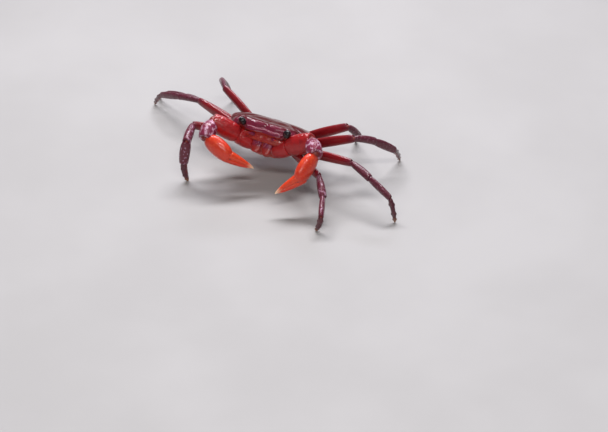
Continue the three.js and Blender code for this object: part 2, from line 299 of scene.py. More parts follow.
SOCKETED: Line = (
    (-0.02, 0.58), (0.0, 0.78), (0.035, 0.9), (0.1, 0.97), (0.22, 1.0), (0.38, 1.0), (0.54, 1.0),
    (0.7, 1.0), (0.82, 1.0), (0.9, 1.02), (0.955, 1.03), (0.985, 0.96), (0.99, 0.8), (0.965, 0.66),
    (0.93, 0.5),
)
POINTED: Line = (
    (-0.03, 0.42), (0.0, 0.62), (0.04, 0.86), (0.1, 1.0), (0.2, 1.0), (0.32, 1.0), (0.45, 1.0),
    (0.58, 1.0), (0.7, 1.0), (0.82, 0.97), (0.91, 0.86), (0.965, 0.66), (0.99, 0.4),
)
ROUNDED: Line = (
    (0.0, 0.4), (0.03, 0.7), (0.09, 0.92), (0.2, 1.0), (0.35, 1.0), (0.5, 1.0), (0.65, 1.0),
    (0.8, 1.0), (0.91, 0.9), (0.975, 0.66), (1.0, 0.36),
)


def bead(middle: float, half: Sizes, angles: Sequence[int]) -> list[Ring]:
    """The rings of a rounded bead.

    Args:
        middle: where its middle lies, in millimetres.
        half: its half length, depth and thickness.
        angles: each ring's latitude in degrees.

    Returns:
        One ring for each angle.
    """
    reach, depth, thick = half
    turns = [math.radians(angle) for angle in angles]
    return [
        Ring(middle + reach * math.sin(turn), depth * math.cos(turn), thick * math.cos(turn))
        for turn in turns
    ]


def loft(name: str, rings: Sequence[Ring], sides: int = 12) -> Piece:
    """Makes a closed tube along +X by extruding a disc from ring to ring.

    Args:
        name: the new object's name.
        rings: cross-sections from the root to the tip.
        sides: how many sides each ring has, a multiple of four.

    Returns:
        The tube, in millimetres, with its root near the origin.
    """
    start = rings[0]
    bpy.ops.mesh.primitive_circle_add(
        vertices=sides, radius=1.0, fill_type="NGON", rotation=(0, math.pi / 2, 0)
    )
    piece = bpy.context.object
    piece.name = name
    bpy.ops.object.transform_apply(location=False, rotation=True, scale=False)
    bpy.ops.object.mode_set(mode="EDIT")
    bpy.ops.mesh.select_all(action="SELECT")
    bpy.ops.transform.resize(value=(1.0, start.thick, start.depth), center_override=(0, 0, 0))
    bpy.ops.transform.translate(value=(start.at, 0, start.rise))
    for last, ring in zip(rings, rings[1:]):
        step = (ring.at - last.at, 0, ring.rise - last.rise)
        bpy.ops.mesh.extrude_region_move(TRANSFORM_OT_translate={"value": step})
        bpy.ops.transform.resize(
            value=(1.0, ring.thick / last.thick, ring.depth / last.depth),
            center_override=(ring.at, 0, ring.rise),
        )
    face_outward()
    close_edit()
    return piece


def shaped_ball(name: str, segments: int, rings: int, shape: Callable[[Vector], Vector]) -> Piece:
    """Makes a ball and moves each of its points to where a shape function says.

    Args:
        name: the new object's name.
        segments: steps round the ball.
        rings: steps from pole to pole.
        shape: takes a point of the unit ball and returns its place in millimetres.

    Returns:
        The shaped piece, with its faces outwards.
    """
    bpy.ops.mesh.primitive_uv_sphere_add(segments=segments, ring_count=rings, radius=1.0)
    piece = bpy.context.object
    piece.name = name
    for vertex in piece.data.vertices:
        vertex.co = shape(vertex.co)
    edit(piece)
    face_outward()
    close_edit()
    return piece


def mark(piece: Piece, length: float, axis: int = 0, start: float = 0.0) -> None:
    """Stores how far along and how far up each point lies, for the finishes to read.

    Args:
        piece: the finished mesh, still in its own frame.
        length: the run over which "along" goes from 0 to 1.
        axis: the coordinate that runs along the piece.
        start: where along is 0.
    """
    mesh = piece.data
    count = len(mesh.vertices)
    spots = np.empty(count * 3)
    turns = np.empty(count * 3)
    mesh.vertices.foreach_get("co", spots)
    mesh.vertices.foreach_get("normal", turns)
    run = np.clip((spots[axis::3] - start) / length, 0.0, 1.0)
    up = turns[2::3] * 0.5 + 0.5
    for name, values in (("along", run), ("dorsal", up)):
        layer = mesh.attributes.new(name, "FLOAT", "POINT")
        layer.data.foreach_set("value", values)


def settle(piece: Piece, place: Matrix) -> None:
    """Moves a millimetre piece to its place on the crab and leaves it unturned at the origin.

    Args:
        piece: the object, in millimetres in its own frame.
        place: that frame, in millimetres in the crab's frame.
    """
    piece.matrix_world = Matrix.Scale(MM, 4) @ place
    take(piece)
    bpy.ops.object.transform_apply(location=True, rotation=True, scale=True)
    bpy.ops.object.shade_smooth_by_angle(angle=math.radians(SMOOTH_ANGLE))


def dress(piece: Piece, material: Material, slot: str, *nodes: str) -> None:
    """Gives a piece its material and body, and hides the CAD nodes that it stands for.

    Args:
        piece: the finished object.
        material: its finish.
        slot: the record's slot that the finish belongs to; not used.
        nodes: the CAD nodes it replaces.
    """
    piece.data.materials.clear()
    piece.data.materials.append(material)
    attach(piece, "root")
    if nodes:
        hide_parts(*nodes)
    LOG.info("%s: %d faces", piece.name, len(piece.data.polygons))


def complete(
    piece: Piece, place: Matrix, material: Material, slot: str, *nodes: str,
    run: float, levels: int = 2, axis: int = 0, start: float = 0.0,
) -> None:
    """Smooths a cage, marks it, moves it to its place and dresses it.

    Args:
        piece: the cage, in millimetres in its own frame.
        place: that frame.
        material: its finish.
        slot: the record's slot that the finish belongs to.
        nodes: the CAD nodes it replaces.
        run: the length over which "along" goes from 0 to 1.
        levels: how often the cage is subdivided.
        axis: the coordinate that runs along the piece.
        start: where along is 0.
    """
    if levels:
        subdivide(piece, levels)
    mark(piece, run, axis, start)
    settle(piece, place)
    dress(piece, material, slot, *nodes)


# ---- finishes


class Graph:
    """A material's node tree, with short calls that add nodes and join them."""

    def __init__(self, name: str) -> None:
        """Starts a tree that has only its shader and output.

        Args:
            name: the material's name.
        """
        self.material = bpy.data.materials.new(name)
        self.material.use_nodes = True
        self.tree = self.material.node_tree
        self.tree.nodes.clear()
        self.shader = self.tree.nodes.new("ShaderNodeBsdfPrincipled")
        output = self.tree.nodes.new("ShaderNodeOutputMaterial")
        self.tree.links.new(self.shader.outputs["BSDF"], output.inputs["Surface"])
        self.spots = self.add(
            "VectorMath", 0, {0: self.add("TexCoord", "Object", {}), "Scale": 1 / MM}, operation="SCALE"
        )

    def feed(self, node: bpy.types.Node, inputs: dict[str | int, object]) -> None:
        """Feeds a node's inputs.

        Args:
            node: the node.
            inputs: a socket, a number, a place or a colour for each input's name or number.
        """
        for name, value in inputs.items():
            target = node.inputs[name]
            if isinstance(value, Socket):
                self.tree.links.new(value, target)
            else:
                target.default_value = (*value, 1.0) if target.type == "RGBA" else value

    def add(self, kind: str, out: str | int, inputs: dict[str | int, object], **settings: object) -> Socket:
        """Adds one node.

        Args:
            kind: the end of its type's name.
            out: the name or number of the output that is wanted.
            inputs: what its inputs are fed.
            settings: its own options.

        Returns:
            That output.
        """
        node = self.tree.nodes.new(f"ShaderNode{kind}")
        for name, value in settings.items():
            setattr(node, name, value)
        self.feed(node, inputs)
        return node.outputs[out]

    def surface(self, **inputs: object) -> Material:
        """Feeds the shader, and hands over the finished material.

        Args:
            inputs: what its inputs are fed, with _ for each space in a name.

        Returns:
            The material.
        """
        self.feed(self.shader, {name.replace("_", " "): value for name, value in inputs.items()})
        return self.material

    def layer(self, name: str) -> Socket:
        """A value stored on the mesh."""
        return self.add("Attribute", "Fac", {}, attribute_name=name)

    def noise(self, scale: float, detail: float, warp: float = 0.0) -> Socket:
        """Cloudy noise from 0 to 1, at so many patches to the millimetre."""
        inputs = {"Scale": scale, "Detail": detail, "Distortion": warp, "Vector": self.spots}
        return self.add("TexNoise", "Fac", inputs)

    def grains(self, scale: float, reach: float) -> Socket:
        """Small round grains, 1 in the middle of each and 0 at its reach."""
        distance = self.add("TexVoronoi", "Distance", {"Scale": scale, "Vector": self.spots})
        return self.span(distance, 0.0, reach, 1.0, 0.0)

    def sums(self, operation: str, *values: Socket | float) -> Socket:
        """One sum of two or three values."""
        return self.add("Math", 0, dict(enumerate(values)), operation=operation)

    def span(self, value: Socket, low: float, high: float, at_low: float = 0, at_high: float = 1) -> Socket:
        """A value moved smoothly from one range to another, and kept inside it."""
        inputs = dict(enumerate((value, low, high, at_low, at_high)))
        return self.add("MapRange", 0, inputs, interpolation_type="SMOOTHSTEP")

    def blend(self, share: Socket, first: Socket | Colour, second: Socket | Colour) -> Socket:
        """A colour between two, by a share from 0 to 1."""
        return self.add("Mix", 2, {0: share, 6: first, 7: second}, data_type="RGBA")

    def bump(self, height: Socket, depth: float, below: Socket | None = None) -> Socket:
        """A bumped normal.

        Args:
            height: the relief, from 0 to 1.
            depth: the relief's depth in millimetres.
            below: a normal that is bumped already.

        Returns:
            The normal.
        """
        inputs = {"Strength": 1.0, "Distance": depth * MM, "Height": height}
        if below is not None:
            inputs["Normal"] = below
        return self.add("Bump", "Normal", inputs)


@dataclass(frozen=True)
class ShellFinish:
    """Wet pigmented shell.

    It has colours above, beside, at the tip and near the root, pale flecks, fine grain and a wet coat.
    The colour near the root is painted sheen, and flecks kept to the upper side are painted glints.
    The from and to fields are shares of "along" and "dorsal"; depths are in millimetres.
    """

    name: str
    above: Colour
    beside: Colour
    tip: Colour
    fleck: Colour
    tip_from: float = 2.0
    tip_to: float = 3.0
    above_from: float = 0.45
    above_to: float = 0.85
    fleck_share: float = 0.35
    fleck_scale: float = 1.3
    fleck_from: float = 0.5
    fleck_edge: float = 0.18
    fleck_above: bool = False
    # The colour near the root, on the upper side, is painted sheen.
    root: Colour = (0.2, 0.02, 0.05)
    root_sheen_to: float = 0.0
    wave_depth: float = 0.1
    grain_depth: float = 0.03
    grain_scale: float = 3.2
    gloss: float = 0.24
    coat: float = 0.7
    shine: float = 0.3
    beaded: bool = False

    def colour(self, graph: Graph, patch: Socket) -> Socket:
        """Lays the colours over one another.

        Args:
            graph: the material's tree.
            patch: the noise that places the flecks.

        Returns:
            The base colour.
        """
        cloud = graph.sums("SUBTRACT", graph.noise(0.45, 4.0, 0.6), 0.5)
        wander = graph.sums("MULTIPLY_ADD", cloud, 0.5, 0.5)
        height = graph.sums("ADD", graph.layer("dorsal"), wander)
        upper = graph.span(height, self.above_from, self.above_to)
        colour = graph.blend(upper, self.beside, self.above)
        # Painted sheen: the upper side near the root is laid lighter and purplish, as if it caught the sky.
        if self.root_sheen_to:
            near = graph.span(graph.layer("along"), self.root_sheen_to * 0.6, self.root_sheen_to, 1.0, 0.0)
            colour = graph.blend(graph.sums("MULTIPLY", near, upper), colour, self.root)
        spotted = graph.span(patch, self.fleck_from, self.fleck_from + self.fleck_edge)
        flecks = graph.sums("MULTIPLY", spotted, self.fleck_share)
        # Flecks kept to the upper side are painted glints: pale spots that stand in for wet highlights.
        if self.fleck_above:
            flecks = graph.sums("MULTIPLY", flecks, upper)
        colour = graph.blend(flecks, colour, self.fleck)
        dark = graph.sums("MULTIPLY", graph.span(graph.noise(5.0, 2.0), 0.42, 0.62), 0.16)
        colour = graph.blend(dark, colour, tuple(part * 0.25 for part in self.beside))
        edge = graph.sums("ADD", graph.layer("along"), graph.sums("MULTIPLY", patch, 0.12))
        return graph.blend(graph.span(edge, self.tip_from, self.tip_to), colour, self.tip)

    def build(self) -> Material:
        """Makes the material.

        Returns:
            The material, its coat smoother than the shell unless it is beaded.
        """
        graph = Graph(self.name)
        patch = graph.noise(self.fleck_scale, 5.0, 0.3)
        waves = graph.bump(graph.noise(0.9, 2.0), self.wave_depth * 2)
        ripples = graph.bump(graph.noise(2.6, 2.0), self.wave_depth * 0.6, waves)
        skin = graph.bump(graph.grains(self.grain_scale, 0.55), self.grain_depth, ripples)
        return graph.surface(
            Base_Color=self.colour(graph, patch),
            Roughness=graph.sums("ADD", self.gloss, graph.sums("MULTIPLY", patch, 0.16)),
            Normal=skin,
            Coat_Normal=skin if self.beaded else ripples,
            Specular_IOR_Level=self.shine,
            Coat_Weight=self.coat,
            Coat_Roughness=0.06,
            Coat_IOR=1.4,
        )


@dataclass(frozen=True)
class EyeFinish:
    """The black cornea, finely faceted under a wet film."""

    name: str = "eye_black"
    dark: Colour = (0.004, 0.003, 0.004)
    pale: Colour = (0.02, 0.01, 0.012)
    facet_depth: float = 0.003

    def build(self) -> Material:
        """Makes the material.

        Returns:
            The material.
        """
        graph = Graph(self.name)
        return graph.surface(
            Base_Color=graph.blend(graph.span(graph.noise(1.6, 3.0), 0.3, 0.8), self.dark, self.pale),
            Normal=graph.bump(graph.grains(14.0, 0.6), self.facet_depth),
            Roughness=0.16,
            Specular_IOR_Level=0.05,
            Coat_Weight=0.8,
            Coat_Roughness=0.04,
            Coat_IOR=1.5,
        )


@dataclass(frozen=True)
class SkinFinish:
    """The soft wrinkled skin between two shell pieces."""

    name: str = "joint_skin"
    dark: Colour = (0.09, 0.008, 0.01)
    pale: Colour = (0.3, 0.03, 0.02)
    fold_depth: float = 0.08

    def build(self) -> Material:
        """Makes the material.

        Returns:
            The material.
        """
        graph = Graph(self.name)
        return graph.surface(
            Base_Color=graph.blend(graph.noise(1.8, 4.0), self.dark, self.pale),
            Normal=graph.bump(graph.noise(4.0, 3.0, 1.5), self.fold_depth),
            Roughness=0.4,
            Subsurface_Weight=0.2,
            Subsurface_Scale=0.3 * MM,
        )


@dataclass(frozen=True)
class FloorFinish:
    """A plain pale studio floor with a very faint mottle, and a painted fall-off of light that darkens it
    far from the crab.
    """

    name: str = "studio_floor"
    dark: Colour = (0.33, 0.32, 0.305)
    pale: Colour = (0.36, 0.35, 0.335)
    far: Colour = (0.12, 0.11, 0.1)
    middle: Point = (20.0, -40.0, 0.0)
    pale_to: float = 130.0
    far_from: float = 260.0

    def build(self) -> Material:
        """Makes the material.

        Returns:
            The material.
        """
        graph = Graph(self.name)
        near = graph.blend(graph.span(graph.noise(0.02, 3.0), 0.3, 0.7), self.dark, self.pale)
        away = graph.add("VectorMath", "Value", {0: graph.spots, 1: self.middle}, operation="DISTANCE")
        # Painted fall-off of light: the floor turns to the far colour away from the crab.
        share = graph.span(away, self.pale_to, self.far_from)
        return graph.surface(Base_Color=graph.blend(share, near, self.far), Roughness=0.55)


class Finishes:
    """Every material of the crab, made once."""

    def __init__(self) -> None:
        """Makes the materials."""
        # The purplish front slope given by the root colour is painted sheen over the shell's dark maroon.
        self.shell = ShellFinish(
            "shell_maroon", above=(0.075, 0.005, 0.006), beside=(0.36, 0.016, 0.01), tip=(0.3, 0.02, 0.02),
            fleck=(0.13, 0.01, 0.012), above_from=0.5, above_to=0.72, wave_depth=0.014, coat=0.6,
            shine=0.05, root=(0.14, 0.014, 0.034), root_sheen_to=0.16,
        ).build()
        self.underside = ShellFinish(
            "underside_orange", above=(0.3, 0.012, 0.012), beside=(0.5, 0.04, 0.012), tip=(0.4, 0.05, 0.02),
            fleck=(0.62, 0.12, 0.03), grain_depth=0.02, wave_depth=0.06,
        ).build()
        self.mouth = ShellFinish(
            "mouth_purple", above=(0.2, 0.02, 0.06), beside=(0.24, 0.02, 0.04), tip=(0.3, 0.018, 0.014),
            fleck=(0.42, 0.05, 0.03), tip_from=0.3, tip_to=0.7, grain_depth=0.02, wave_depth=0.05, coat=0.4,
        ).build()
        self.leg_red = ShellFinish(
            "leg_red", above=(0.22, 0.006, 0.01), beside=(0.42, 0.01, 0.008), tip=(0.12, 0.01, 0.024),
            fleck=(0.16, 0.006, 0.016), tip_from=0.86, tip_to=1.12, wave_depth=0.05,
        ).build()
        # Pale purple flecks on the upper side of the lower leg segments are painted glints of the wet shell,
        # over its own maroon.
        dark = ShellFinish(
            "leg_maroon", above=(0.1, 0.012, 0.026), beside=(0.2, 0.01, 0.012), tip=(0.16, 0.05, 0.025),
            fleck=(0.34, 0.13, 0.19), fleck_share=0.4, fleck_scale=1.6, fleck_from=0.57, fleck_edge=0.1,
            fleck_above=True, above_from=0.25, above_to=0.6, grain_depth=0.04, beaded=True,
        )
        self.leg_dark = dark.build()
        # The front legs take stronger painted glints: paler, denser mauve flecks on top.
        self.leg_painted_glints = replace(
            dark, name="leg_painted_glints", above=(0.12, 0.012, 0.028), beside=(0.2, 0.01, 0.014),
            fleck=(0.5, 0.3, 0.42), fleck_share=0.6, fleck_scale=1.3, fleck_from=0.54,
        ).build()
        self.toe = ShellFinish(
            "toe_brown", above=(0.08, 0.012, 0.022), beside=(0.16, 0.014, 0.016), tip=(0.3, 0.13, 0.05),
            fleck=(0.18, 0.05, 0.05), tip_from=0.75, tip_to=1.1, grain_depth=0.045,
        ).build()
        self.stalk = ShellFinish(
            "stalk_dark", above=(0.12, 0.008, 0.02), beside=(0.14, 0.008, 0.014), tip=(0.05, 0.006, 0.01),
            fleck=(0.2, 0.02, 0.03), tip_from=0.7, tip_to=1.0, wave_depth=0.03,
        ).build()
        self.claw_arm = ShellFinish(
            "claw_red", above=(0.36, 0.01, 0.012), beside=(0.6, 0.026, 0.008), tip=(0.2, 0.015, 0.03),
            fleck=(0.2, 0.006, 0.012), fleck_share=0.6, fleck_scale=0.8, above_from=0.4, above_to=0.75,
            wave_depth=0.06,
        ).build()
        # The wrist's purple top and the pale mauve flecks on it are painted sheen and painted glints; its
        # red sides are its own colour.
        self.claw_wrist = ShellFinish(
            "wrist_red_with_painted_sheen", above=(0.2, 0.016, 0.05), beside=(0.58, 0.028, 0.01), tip=(0.3, 0.02, 0.02),
            fleck=(0.74, 0.48, 0.62), fleck_share=0.75, fleck_scale=1.0, fleck_from=0.5, fleck_edge=0.12,
            fleck_above=True, grain_depth=0.04, beaded=True,
        ).build()
        hand = ShellFinish(
            "hand_orange", above=(0.64, 0.038, 0.014), beside=(0.82, 0.09, 0.016), tip=(0.86, 0.62, 0.4),
            fleck=(0.84, 0.13, 0.03), tip_from=0.88, tip_to=1.1, grain_depth=0.02, wave_depth=0.03,
        )
        self.claw_hand = hand.build()
        self.finger = replace(
            hand, name="finger_orange", above=(0.7, 0.05, 0.014), beside=(0.84, 0.12, 0.022),
            fleck=(0.84, 0.16, 0.04), tip_from=0.72,
        ).build()
        self.eye = EyeFinish().build()
        self.skin = SkinFinish().build()


@dataclass(frozen=True)
class Assembly:
    """A sub-assembly of the crab, and the finishes that dress it."""

    finishes: Finishes


# ---- stance


@dataclass(frozen=True)
class Stance:
    """Where the body stands, in millimetres, and how it leans, in degrees.

    The pitch raises its front, and the roll lowers its left side.
    """

    centre: Point = (0.45, 1.45, 11.8)
    pitch: float = 22.5
    roll: float = 4.0

    def body(self) -> Matrix:
        """The body's own frame: +X left, +Y back, +Z up through the shell."""
        raised = Matrix.Translation(self.centre) @ Matrix.Rotation(math.radians(-self.pitch), 4, "X")
        return raised @ Matrix.Rotation(math.radians(self.roll), 4, "Y")

    def fitting(self, spot: Vector | Point, *turns: tuple[str, float]) -> Matrix:
        """A frame fixed to the body.

        Args:
            spot: its origin in the body's frame.
            turns: an axis and its degrees for each turn, one after another.

        Returns:
            The frame's matrix, in millimetres.
        """
        place = self.body() @ Matrix.Translation(spot)
        for axis, degrees in turns:
            place = place @ Matrix.Rotation(math.radians(degrees), 4, axis)
        return place


STANCE = Stance()


@dataclass(frozen=True)
class Pose:
    """A limb's bends in degrees, one for each segment from its root.

    The azimuth runs from straight sideways towards the back, and the lift is above the horizontal.
    """

    azimuth: tuple[float, ...]
    lift: tuple[float, ...]

    def frame(self, joint: Vector, side: Side, segment: int) -> Matrix:
        """A frame at a joint, +X along the segment and +Z towards its upper edge.

        Args:
            joint: the joint's place.
            side: the side of the crab.
            segment: which segment starts there.

        Returns:
            The frame's matrix, in millimetres.
        """
        turn, rise = math.radians(self.azimuth[segment]), math.radians(self.lift[segment])
        outward = Vector((math.cos(turn) * side.value, math.sin(turn), 0))
        forward = outward * math.cos(rise) + Vector((0, 0, math.sin(rise)))
        upper = outward * -math.sin(rise) + Vector((0, 0, math.cos(rise)))
        across = upper.cross(forward)
        return Matrix.Translation(joint) @ Matrix((forward, across, upper)).transposed().to_4x4()

    def frames(self, hip: Point, side: Side, lengths: Sequence[float]) -> list[Matrix]:
        """The frames of all the segments.

        Args:
            hip: where the limb leaves the body's left side, in the body's frame.
            side: the side of the crab.
            lengths: the length of each segment but the last, in millimetres.

        Returns:
            One frame for each segment, from the root.
        """
        joint = STANCE.body() @ side.point(hip)
        frames = [self.frame(joint, side, 0)]
        for segment, length in enumerate(lengths, start=1):
            frames.append(self.frame(frames[-1] @ Vector((length, 0, 0)), side, segment))
        return frames


# ---- carapace


@dataclass(frozen=True)
class Hill:
    """A soft swelling of the shell, or a hollow if its height is negative, in millimetres."""

    height: float
    x: float
    y: float
    wide: float
    long: float

    def at(self, x: float, y: float) -> float:
        """The swelling's height at a place on either half."""
        away = ((abs(x) - self.x) / self.wide) ** 2
        return self.height * math.exp(-away - ((y - self.y) / self.long) ** 2)


@dataclass(frozen=True)
class Groove:
    """A furrow along a bent line on either half of the shell, in millimetres."""

    points: Line
    depth: float
    width: float

    def at(self, x: float, y: float) -> float:
        """How deep the furrow is.

        Args:
            x: the place's distance to either side.
            y: its distance towards the back.

        Returns:
            The depth there.
        """
        nearest = math.inf
        spot = Vector((abs(x), y))
        for first, second in zip(self.points, self.points[1:]):
            start, run = Vector(first), Vector(second) - Vector(first)
            share = min(max((spot - start).dot(run) / run.length_squared, 0.0), 1.0)
            nearest = min(nearest, (spot - start - run * share).length)
        return self.depth * math.exp(-((nearest / self.width) ** 2))


@dataclass(frozen=True)
class Brow:
    """The wavy crest from eye to eye, and the terrace and step in front of it, in millimetres."""

    line: Line = ((0.0, -7.1), (0.4, -7.15), (1.4, -7.6), (2.8, -7.75), (4.4, -7.45), (6.0, -7.0))
    run: float = 0.65
    fall: float = 0.4
    step: float = 1.0

    def drop(self, x: float, y: float) -> float:
        """How far the shell steps down.

        Args:
            x: the place's distance to either side.
            y: its distance towards the back.

        Returns:
            The drop there, which is 0 behind the crest.
        """
        level = self.line[-1][1]
        for (near_x, near_y), (far_x, far_y) in zip(self.line, self.line[1:]):
            if near_x <= abs(x) <= far_x:
                level = near_y + (far_y - near_y) * ease(abs(x), near_x, far_x)
        ahead = level - y
        shelf = self.fall * min(max(ahead / self.run, 0.0), 1.0)
        step = self.step * ease(ahead, self.run, self.run + 0.35)
        back = 1 - 0.6 * ease(ahead, self.run + 0.7, self.run + 1.6)
        return (shelf + step) * back * (1 - ease(abs(x), 5.4, 6.2))


@dataclass(frozen=True)
class Carapace(Assembly):
    """The broad shell: its outline, crown, relief and the sockets of its eyes."""

    outline: Line = (
        (0, -9.6), (2.8, -9.9), (4.9, -9.7), (6.0, -8.8), (7.6, -8.4), (9.5, -8.3), (10.9, -6.5),
        (12.1, -4.2), (12.5, -1.6), (11.6, 2.4), (9.1, 6.2), (6.7, 8.9), (4.2, 9.9), (0, 10.0),
    )
    curve_steps: int = 24
    edge_steps: int = 360
    around: int = 224
    down: int = 128
    crown: float = 3.2
    crown_y: float = -3.0
    fall: float = 0.035
    under: float = -2.4
    centre_y: float = -0.6
    eye_socket: Point = (7.1, -9.5, 1.0)
    socket_radius: float = 1.6
    brow: Brow = Brow()
    hills: tuple[Hill, ...] = (
        Hill(0.2, 2.6, -6.9, 2.0, 0.9),
        Hill(0.3, 7.0, -6.6, 2.6, 0.8),
        Hill(0.2, 7.6, -1.8, 2.6, 3.0),
        Hill(0.12, 2.6, -3.2, 1.6, 1.6),
        Hill(0.12, 7.6, 3.6, 2.4, 2.4),
        Hill(0.14, 0.0, 2.6, 1.8, 1.8),
        Hill(-0.22, 6.3, -7.6, 0.5, 0.8),
    )
    crest: Groove = Groove(((6.9, -7.4), (8.6, -6.9), (10.1, -5.9), (11.0, -4.4)), 0.3, 0.34)
    grooves: tuple[Groove, ...] = (
        Groove(((9.4, -4.6), (6.4, -3.2), (4.2, -0.8), (2.2, 0.6), (0.0, 0.9)), 0.13, 0.4),
        Groove(((1.5, 0.7), (1.9, 2.6), (1.6, 4.4), (0.0, 5.0)), 0.1, 0.36),
        Groove(((1.9, 2.6), (4.2, 4.2), (5.6, 6.4)), 0.07, 0.45),
        Groove(((0.0, -7.6), (0.0, -4.6)), 0.12, 0.3),
    )

    def smooth_edge(self) -> list[Vector]:
        """The whole outline as a smooth curve, evenly spread by length.

        Returns:
            The edge steps, starting at the front middle and going round by the left side.
        """
        half = [Vector(point) for point in self.outline]
        loop = half + [Vector((-point.x, point.y)) for point in reversed(half[1:-1])]
        count = len(loop)
        fine: list[Vector] = []
        for index in range(count):
            before, here, after, beyond = (loop[(index + step) % count] for step in (-1, 0, 1, 2))
            for part in range(self.curve_steps):
                t = part / self.curve_steps
                fine.append(
                    0.5 * (
                        2 * here + (after - before) * t
                        + (2 * before - 5 * here + 4 * after - beyond) * t * t
                        + (3 * here - before - 3 * after + beyond) * t**3
                    )
                )
        lengths = [0.0]
        for first, second in zip(fine, fine[1:] + fine[:1]):
            lengths.append(lengths[-1] + (second - first).length)
        even = []
        cursor = 0
        for step in range(self.edge_steps):
            target = lengths[-1] * step / self.edge_steps
            while lengths[cursor + 1] < target:
                cursor += 1
            share = (target - lengths[cursor]) / (lengths[cursor + 1] - lengths[cursor])
            even.append(fine[cursor].lerp(fine[(cursor + 1) % len(fine)], share))
        return even

    def rim(self, y: float) -> float:
        """Height of the shell's edge: lower at the front and the back."""
        return 1.3 - 0.06 * (y + 3) ** 2 * (0.2 if y < -3 else 0.17)

    def relief(self, x: float, y: float) -> float:
        """The swellings and the crest less the furrows at a place."""
        swell = sum(hill.at(x, y) for hill in self.hills) + self.crest.at(x, y)
        return swell - sum(groove.at(x, y) for groove in self.grooves)

    def socketed(self, spot: Vector) -> Vector:
        """Pushes a point out of the two eye sockets and lifts their rims a little.

        Args:
            spot: a point of the shell.

        Returns:
            The point, moved where it lay in a socket or near one.
        """
        for side in Side:
            middle = side.point(self.eye_socket)
            away = spot - middle
            reach = Vector((away.x * 0.95, away.y, away.z * 0.7)).length
            if reach < self.socket_radius:
                spot = middle + away * (self.socket_radius / max(reach, 1e-6))
                spot.y = max(spot.y, middle.y - 0.4)
            else:
                lip = 0.2 * math.exp(-(((reach - self.socket_radius) / 0.3) ** 2))
                spot = spot + Vector((0, -0.6, 0.8 if away.z > 0 else -0.2)) * lip
        return spot

    def upper(self, share: float, edge_y: float, y: float) -> float:
        """Height of the upper side: flat, falling to the back, and steeply at the brow.

        Args:
            share: 0 at the middle and 1 at the edge.
            edge_y: where the edge lies in this direction.
            y: where the point lies.

        Returns:
            The height, without the relief.
        """
        rim = self.rim(edge_y)
        power = 3.0 + 11.0 * ease(edge_y, -6.0, -8.6)
        peak = self.crown - self.fall * max(y - self.crown_y, 0.0) ** 2
        return rim + max(peak - rim, 0.6) * max(1 - share**power, 0.0) ** 0.8

    def lower(self, share: float, edge_y: float) -> float:
        """Height of the lower side: a thin lip over the face, a rounded wall elsewhere.

        Args:
            share: 0 at the middle and 1 at the edge.
            edge_y: where the edge lies in this direction.

        Returns:
            The height.
        """
        rim = self.rim(edge_y)
        wall = max(1 - share**8, 0.0) ** 0.6
        lip = 0.1 * min((1 - share) / 0.02, 1.0) + 0.9 * ease(share, 0.9, 0.82)
        drop = wall + (lip - wall) * ease(edge_y, -7.2, -8.6)
        return rim + (self.under - rim) * drop

    def place(self, spot: Vector, edge: Sequence[Vector]) -> Vector:
        """Where a point of the unit ball lies on the shell.

        Args:
            spot: the ball's point.
            edge: the outline, one step to a degree.

        Returns:
            The shell's point.
        """
        angle = math.degrees(math.atan2(spot.x, -spot.y)) % self.edge_steps
        share = min(math.hypot(spot.x, spot.y), 1.0) ** 0.92
        low = int(angle) % self.edge_steps
        out = edge[low].lerp(edge[(low + 1) % self.edge_steps], angle - int(angle))
        x = out.x * share
        y = self.centre_y + (out.y - self.centre_y) * share
        if spot.z >= -1e-6:
            brim = 0.13 * math.exp(-(((share - 0.965) / 0.018) ** 2)) * (1 if out.y < 3 else 0.4)
            relief = self.relief(x, y) * (1 - share**10) - self.brow.drop(x, y) * (1 - share**24)
            z = self.upper(share, out.y, y) + relief + brim
        else:
            z = self.lower(share, out.y)
        return self.socketed(Vector((x, y, z)))

    def build(self) -> None:
        """Models the shell and dresses it."""

        edge = self.smooth_edge()
        tops: list[float] = []

        def shape(spot: Vector) -> Vector:
            """Moves a point, and notes whether it is above the edge or below."""
            tops.append(ease(spot.z, -0.06, 0.04))
            return self.place(spot, edge)

        piece = shaped_ball("carapace_shell", self.around, self.down, shape)
        apply_modifier(piece, "SMOOTH", factor=0.5, iterations=2)
        mark(piece, 20.0, axis=1, start=-10.0)
        piece.data.attributes["dorsal"].data.foreach_set("value", tops)
        settle(piece, STANCE.body())
        dress(piece, self.finishes.shell, "shell", "carapace")


# ---- underbody


@dataclass(frozen=True)
class Level:
    """One level of the breast, in millimetres: its height, half width, front and back."""

    height: float
    half: float
    front: float
    back: float

    def towards(self, other: "Level", share: float) -> "Level":
        """A level between this one and another, by a share from 0 to 1."""
        pairs = zip(astuple(self), astuple(other))
        return Level(*(first + (second - first) * share for first, second in pairs))


